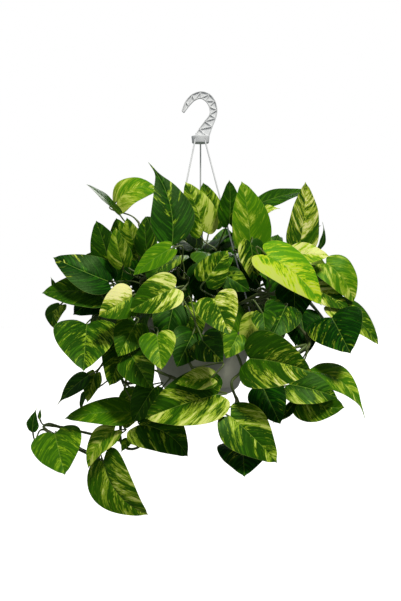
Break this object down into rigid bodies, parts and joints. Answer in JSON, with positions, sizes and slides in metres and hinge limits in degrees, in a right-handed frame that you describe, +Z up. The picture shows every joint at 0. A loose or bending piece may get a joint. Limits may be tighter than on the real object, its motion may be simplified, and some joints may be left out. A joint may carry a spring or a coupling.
{
  "type": "potted golden pothos",
  "caption": "Golden pothos whose heart-shaped, yellow-splashed leaves spill from a round plastic pot hung on three strands from a ribbed hook.",
  "frame": {"origin": "seat inside the crown of the hook, where the whole plant hangs", "axes": "+Z up, +X to the right as seen from the front, +Y from the front towards the back"},
  "size_m": [0.546, 0.4603, 0.6635],
  "materials": {
    "leaf": "waxy deep green blades splashed and streaked with lime and cream yellow",
    "stem": "smooth fleshy light green stems and leaf stalks",
    "pot": "plain grey moulded plastic, satin",
    "hanger": "pale translucent grey moulded plastic, satin",
    "soil": "dark moist potting soil with bark crumbs"
  },
  "bodies": {
    "root": {"pot": "pot", "soil": "soil", "hanger_hook": "hanger", "strand_left": "hanger", "strand_right": "hanger", "strand_back": "hanger", "vine_back_1": "leaf", "vine_back_2": "leaf", "vine_back_3": "leaf", "vine_back_4": "leaf", "vine_back_5": "leaf", "vine_back_6": "leaf", "vine_back_7": "leaf", "vine_back_8": "leaf", "vine_centre_trail": "leaf", "vine_core_front": "leaf", "vine_core_left": "leaf", "vine_core_middle": "leaf", "vine_core_right": "leaf", "vine_crown_left": "leaf", "vine_crown_middle": "leaf", "vine_crown_right": "leaf", "vine_far_left": "leaf", "vine_front_left": "leaf", "vine_front_low": "leaf", "vine_front_middle": "leaf", "vine_front_right": "leaf", "vine_inner_1": "leaf", "vine_inner_2": "leaf", "vine_inner_3": "leaf", "vine_inner_4": "leaf", "vine_left_low": "leaf", "vine_left_middle": "leaf", "vine_left_shoulder": "leaf", "vine_left_top": "leaf", "vine_left_trail": "leaf", "vine_low_left": "leaf", "vine_right_far": "leaf", "vine_right_lime": "leaf", "vine_right_shoulder": "leaf", "vine_right_top": "leaf", "vine_right_trail": "leaf"}
  },
  "joints": []
}
